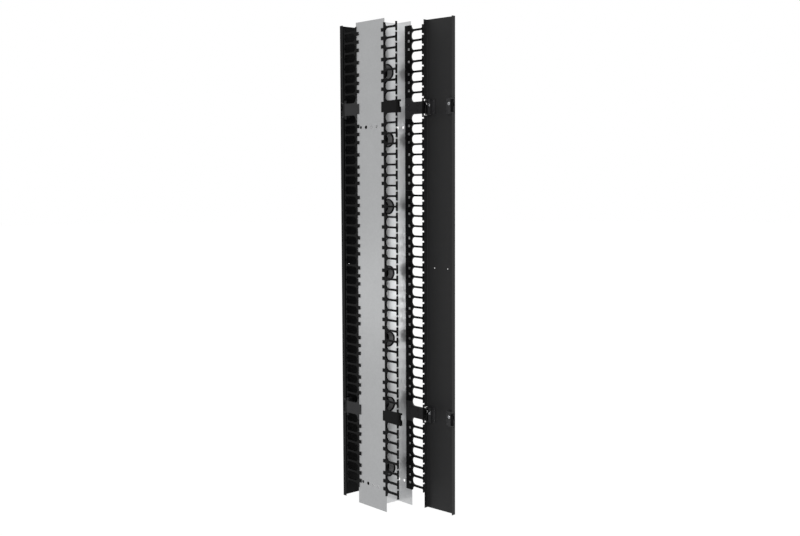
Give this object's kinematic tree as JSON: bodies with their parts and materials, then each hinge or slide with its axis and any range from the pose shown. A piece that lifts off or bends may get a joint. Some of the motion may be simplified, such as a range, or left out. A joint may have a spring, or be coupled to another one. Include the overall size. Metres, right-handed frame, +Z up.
{
  "type": "vertical cable manager",
  "caption": "Tall double-sided vertical cable manager: steel H-section frame, finger ladders on four edges, web pass-throughs and a double-hinged latching door at each face.",
  "frame": {"origin": "middle of the web panel's lower edge, on the floor", "axes": "+X to the right across the width, +Y towards the rear, +Z up; the front door is at -Y"},
  "size_m": [0.1865, 0.5567, 2.1336],
  "materials": {
    "galvanised_sheet": "zinc-coated steel sheet, semi-matt",
    "black_door_paint": "satin black powder coat",
    "black_moulding": "moulded, fine grain",
    "bracket_moulding": "moulded, satin",
    "latch_moulding": "moulded, satin",
    "grommet_moulding": "moulded, semi-gloss",
    "pin_steel": "bright ground steel",
    "screw_steel": "black zinc"
  },
  "bodies": {
    "frame": {"side_wall_left": "galvanised_sheet", "side_wall_right": "galvanised_sheet", "web_panel": "galvanised_sheet", "bracket_screws": "screw_steel", "grommet_1": "grommet_moulding", "grommet_2": "grommet_moulding", "grommet_3": "grommet_moulding", "grommet_4": "grommet_moulding", "grommet_5": "grommet_moulding", "grommet_6": "grommet_moulding", "grommet_7": "grommet_moulding", "fingers_front_left_1": "black_moulding", "fingers_front_left_2": "black_moulding", "fingers_front_left_3": "black_moulding", "fingers_front_left_4": "black_moulding", "fingers_front_left_5": "black_moulding", "fingers_front_left_6": "black_moulding", "fingers_front_right_1": "black_moulding", "fingers_front_right_2": "black_moulding", "fingers_front_right_3": "black_moulding", "fingers_front_right_4": "black_moulding", "fingers_front_right_5": "black_moulding", "fingers_front_right_6": "black_moulding", "fingers_rear_left_1": "black_moulding", "fingers_rear_left_2": "black_moulding", "fingers_rear_left_3": "black_moulding", "fingers_rear_left_4": "black_moulding", "fingers_rear_left_5": "black_moulding", "fingers_rear_left_6": "black_moulding", "fingers_rear_right_1": "black_moulding", "fingers_rear_right_2": "black_moulding", "fingers_rear_right_3": "black_moulding", "fingers_rear_right_4": "black_moulding", "fingers_rear_right_5": "black_moulding", "fingers_rear_right_6": "black_moulding", "bracket_front_left_lower": "bracket_moulding", "bracket_front_left_upper": "bracket_moulding", "bracket_front_right_lower": "bracket_moulding", "bracket_front_right_upper": "bracket_moulding", "bracket_rear_left_lower": "bracket_moulding", "bracket_rear_left_upper": "bracket_moulding", "bracket_rear_right_lower": "bracket_moulding", "bracket_rear_right_upper": "bracket_moulding"},
    "front_leaf": {"front_door": "black_door_paint", "latch_housings_front": "latch_moulding", "hinge_pins_front": "pin_steel", "latch_screws_front": "screw_steel"},
    "rear_leaf": {"rear_door": "black_door_paint", "latch_housings_rear": "latch_moulding", "hinge_pins_rear": "pin_steel", "latch_screws_rear": "screw_steel"},
    "lock_front_hinge_lower": {"lock_front_hinge_lower": "latch_moulding"},
    "lock_front_hinge_upper": {"lock_front_hinge_upper": "latch_moulding"},
    "lock_front_free_lower": {"lock_front_free_lower": "latch_moulding"},
    "lock_front_free_upper": {"lock_front_free_upper": "latch_moulding"},
    "lock_rear_hinge_lower": {"lock_rear_hinge_lower": "latch_moulding"},
    "lock_rear_hinge_upper": {"lock_rear_hinge_upper": "latch_moulding"},
    "lock_rear_free_lower": {"lock_rear_free_lower": "latch_moulding"},
    "lock_rear_free_upper": {"lock_rear_free_upper": "latch_moulding"}
  },
  "joints": [
    {"name": "front_door_hinge", "type": "hinge", "parent": "frame", "child": "front_leaf", "pos_m": [0.074, -0.192, 1.071], "axis": [0, 0, 1], "range_deg": [-95.6, 14.4]},
    {"name": "rear_door_hinge", "type": "hinge", "parent": "frame", "child": "rear_leaf", "pos_m": [-0.074, 0.192, 1.071], "axis": [0, 0, 1], "range_deg": [0, 110]},
    {"name": "lock_front_hinge_lower_slide", "type": "slide", "parent": "front_leaf", "child": "lock_front_hinge_lower", "axis": [0, 0, 1], "range_m": [0, 0.007]},
    {"name": "lock_front_hinge_upper_slide", "type": "slide", "parent": "front_leaf", "child": "lock_front_hinge_upper", "axis": [0, 0, 1], "range_m": [0, 0.007]},
    {"name": "lock_front_free_lower_slide", "type": "slide", "parent": "front_leaf", "child": "lock_front_free_lower", "axis": [0, 0, 1], "range_m": [-0.007, 0]},
    {"name": "lock_front_free_upper_slide", "type": "slide", "parent": "front_leaf", "child": "lock_front_free_upper", "axis": [0, 0, 1], "range_m": [-0.007, 0]},
    {"name": "lock_rear_hinge_lower_slide", "type": "slide", "parent": "rear_leaf", "child": "lock_rear_hinge_lower", "axis": [0, 0, 1], "range_m": [0, 0.007]},
    {"name": "lock_rear_hinge_upper_slide", "type": "slide", "parent": "rear_leaf", "child": "lock_rear_hinge_upper", "axis": [0, 0, 1], "range_m": [0, 0.007]},
    {"name": "lock_rear_free_lower_slide", "type": "slide", "parent": "rear_leaf", "child": "lock_rear_free_lower", "axis": [0, 0, 1], "range_m": [-0.007, 0]},
    {"name": "lock_rear_free_upper_slide", "type": "slide", "parent": "rear_leaf", "child": "lock_rear_free_upper", "axis": [0, 0, 1], "range_m": [-0.007, 0]}
  ]
}
